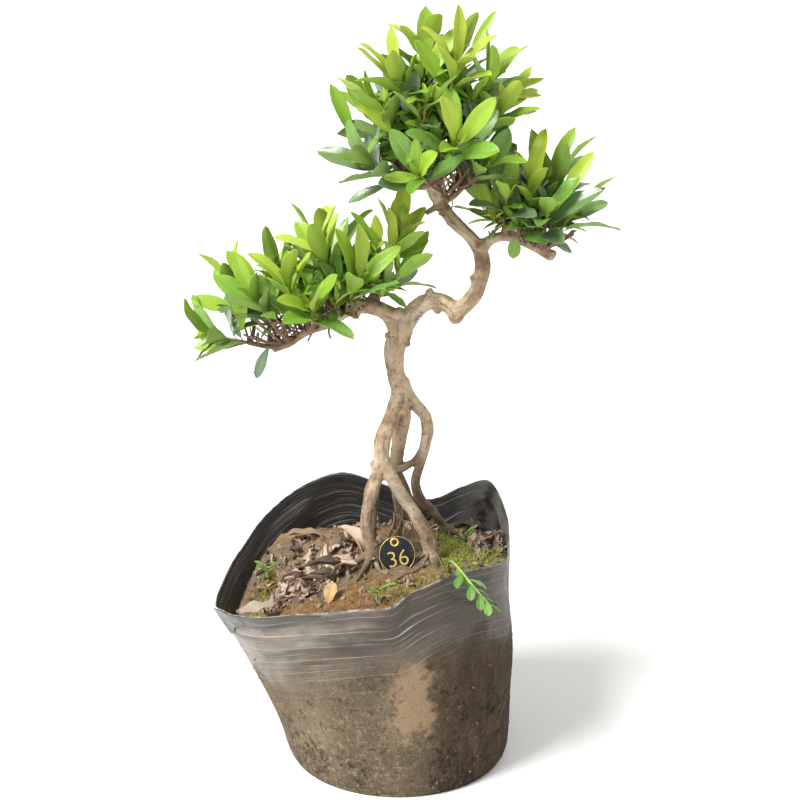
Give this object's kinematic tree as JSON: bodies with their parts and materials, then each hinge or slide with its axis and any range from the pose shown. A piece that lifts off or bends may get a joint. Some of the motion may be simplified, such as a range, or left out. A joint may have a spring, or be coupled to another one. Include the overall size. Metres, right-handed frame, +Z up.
{
  "type": "chinese distylium bonsai",
  "caption": "Distylium bonsai with a gnarled trunk on spreading legs and clouds of small evergreen leaves, planted in a soft black nursery bag of soil with weeds, fallen leaves and a tag.",
  "frame": {"origin": "centre of the bag's flat base, on the surface that it stands on", "axes": "+Z up, along the height; +X to the right and +Y away from the viewer as the picture shows it"},
  "size_m": [0.2838, 0.2113, 0.5257],
  "materials": {
    "bag": "black polyethylene film, soft sheen, creased, lower half dusted with brown mud",
    "soil": "moist dark potting soil, crumbly, with moss in patches",
    "wood": "matt tan-grey bark with lengthwise ridges, burrs and darker crevices",
    "leaf": "leathery living leaf, half gloss, lime when young and dark green when old",
    "tag": "gloss black plastic disc, gold ring round its hole and a gold number",
    "herb": "thin soft living leaf, half gloss, fresh green",
    "litter": "dry fallen leaf, matt, tan to dark brown"
  },
  "bodies": {
    "root": {"bag": "bag", "soil": "soil", "wood": "wood", "tag": "tag", "litter_back": "litter", "litter_dark": "litter", "litter_pale": "litter", "litter_rear": "litter", "litter_right": "litter", "litter_sheet": "litter", "seedling_front": "herb", "seedling_left": "herb", "seedling_right": "herb", "shoot_crown_01": "leaf", "shoot_crown_02": "leaf", "shoot_crown_03": "leaf", "shoot_crown_04": "leaf", "shoot_crown_05": "leaf", "shoot_crown_06": "leaf", "shoot_crown_07": "leaf", "shoot_crown_08": "leaf", "shoot_crown_09": "leaf", "shoot_crown_10": "leaf", "shoot_crown_11": "leaf", "shoot_crown_12": "leaf", "shoot_crown_13": "leaf", "shoot_crown_14": "leaf", "shoot_crown_15": "leaf", "shoot_crown_16": "leaf", "shoot_crown_17": "leaf", "shoot_crown_18": "leaf", "shoot_crown_19": "leaf", "shoot_left_01": "leaf", "shoot_left_02": "leaf", "shoot_left_03": "leaf", "shoot_left_04": "leaf", "shoot_left_05": "leaf", "shoot_left_06": "leaf", "shoot_left_07": "leaf", "shoot_left_08": "leaf", "shoot_left_09": "leaf", "shoot_left_10": "leaf", "shoot_left_11": "leaf", "shoot_left_12": "leaf", "shoot_left_13": "leaf", "shoot_left_14": "leaf", "shoot_lobe_01": "leaf", "shoot_lobe_02": "leaf", "shoot_lobe_03": "leaf", "shoot_lobe_04": "leaf", "shoot_lobe_05": "leaf", "shoot_lobe_06": "leaf", "shoot_lobe_07": "leaf", "weed_trailing": "herb"}
  },
  "joints": []
}
